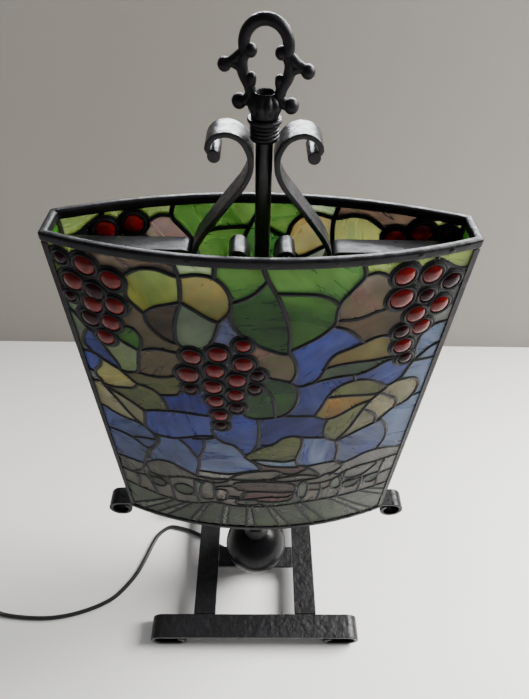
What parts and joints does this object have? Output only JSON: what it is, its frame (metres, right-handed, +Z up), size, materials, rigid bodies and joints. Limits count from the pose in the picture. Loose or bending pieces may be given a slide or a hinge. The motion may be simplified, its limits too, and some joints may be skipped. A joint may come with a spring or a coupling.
{
  "type": "stained glass table lamp",
  "caption": "Table lamp: leaded art-glass shade of lens-shaped plan on a black wrought-iron stand, with a scrolled harp, a loop finial, bulbs and a cord.",
  "frame": {"origin": "on the table, under the centre rod, at the middle of the base", "axes": "+Z up along the centre rod, +X to the right along the lower arm, the front panel faces -Y"},
  "size_m": [0.6554, 0.2387, 0.6715],
  "materials": {
    "wrought_iron": "black, slightly hammered, satin",
    "cast_iron": "black, cast, satin",
    "gloss_black": "black gloss enamel",
    "steel": "plain steel",
    "came": "darkened solder and lead came",
    "art_glass": "streaky opalescent glass in green, yellow, blue and grey",
    "red_jewels": "domed red glass in dark metal",
    "brass": "satin brass",
    "insulator": "black moulded insulator",
    "bulb_glass": "frosted white",
    "black_plastic": "black, fine matt",
    "cord_jacket": "black flexible jacket, satin"
  },
  "bodies": {
    "stand": {"foot_bar_front": "wrought_iron", "foot_bar_back": "wrought_iron", "side_bar_left": "wrought_iron", "side_bar_right": "wrought_iron", "cross_bar": "wrought_iron", "column_sleeve": "wrought_iron", "lower_arm": "wrought_iron", "ball_collar": "gloss_black", "column_ball": "gloss_black", "column_neck": "gloss_black", "center_rod": "steel", "base_nut": "steel", "arm_nut": "steel", "hub_nut": "steel", "socket_hub": "brass", "branch_left": "brass", "branch_right": "brass", "socket_shell_left": "brass", "socket_shell_right": "brass", "plug_pin_front": "brass", "plug_pin_back": "brass", "socket_contact_left": "insulator", "socket_contact_right": "insulator", "supply_lead": "black_plastic", "cord_bushing": "black_plastic", "switch_lower": "black_plastic", "switch_upper": "black_plastic", "plug_body": "black_plastic", "cord_run": "cord_jacket", "cord_coil": "cord_jacket", "cord_to_coil": "cord_jacket", "cord_tail": "cord_jacket"},
    "shade": {"rim_bottom": "came", "rim_top": "came", "corner_came_front_left": "came", "corner_came_back_left": "came", "corner_came_front_right": "came", "corner_came_back_right": "came", "glass_front": "art_glass", "glass_back": "art_glass", "glass_end_left": "art_glass", "glass_end_right": "art_glass", "grapes_front_left": "red_jewels", "grapes_back_left": "red_jewels", "grapes_front_middle": "red_jewels", "grapes_back_middle": "red_jewels", "grapes_front_right": "red_jewels", "grapes_back_right": "red_jewels"},
    "harp": {"harp_collar": "cast_iron", "scroll_left": "wrought_iron", "scroll_right": "wrought_iron", "upper_arm_left": "wrought_iron", "upper_arm_right": "wrought_iron"},
    "finial": {"finial": "cast_iron", "finial_stud": "steel"},
    "bulb_left": {"bulb_cap_left": "steel", "bulb_glass_left": "bulb_glass"},
    "bulb_right": {"bulb_cap_right": "steel", "bulb_glass_right": "bulb_glass"},
    "rocker": {"switch_rocker": "insulator"}
  },
  "joints": [
    {"name": "shade_lift", "type": "slide", "parent": "stand", "child": "shade", "axis": [0, 0, 1], "range_m": [0, 0.48]},
    {"name": "harp_lift", "type": "slide", "parent": "stand", "child": "harp", "axis": [0, 0, 1], "range_m": [0, 0.13]},
    {"name": "finial_turn", "type": "hinge", "parent": "harp", "child": "finial", "pos_m": [0, 0, 0.64], "axis": [0, 0, 1], "continuous": true},
    {"name": "bulb_left_turn", "type": "hinge", "parent": "stand", "child": "bulb_left", "pos_m": [-0.052, 0, 0.36], "axis": [0, 0, 1], "continuous": true},
    {"name": "bulb_right_turn", "type": "hinge", "parent": "stand", "child": "bulb_right", "pos_m": [0.052, 0, 0.36], "axis": [0, 0, 1], "continuous": true},
    {"name": "rocker_tilt", "type": "hinge", "parent": "stand", "child": "rocker", "pos_m": [-0.374, -0.066, 0.0141], "axis": [0, 1, 0], "range_deg": [-7, 7]}
  ]
}
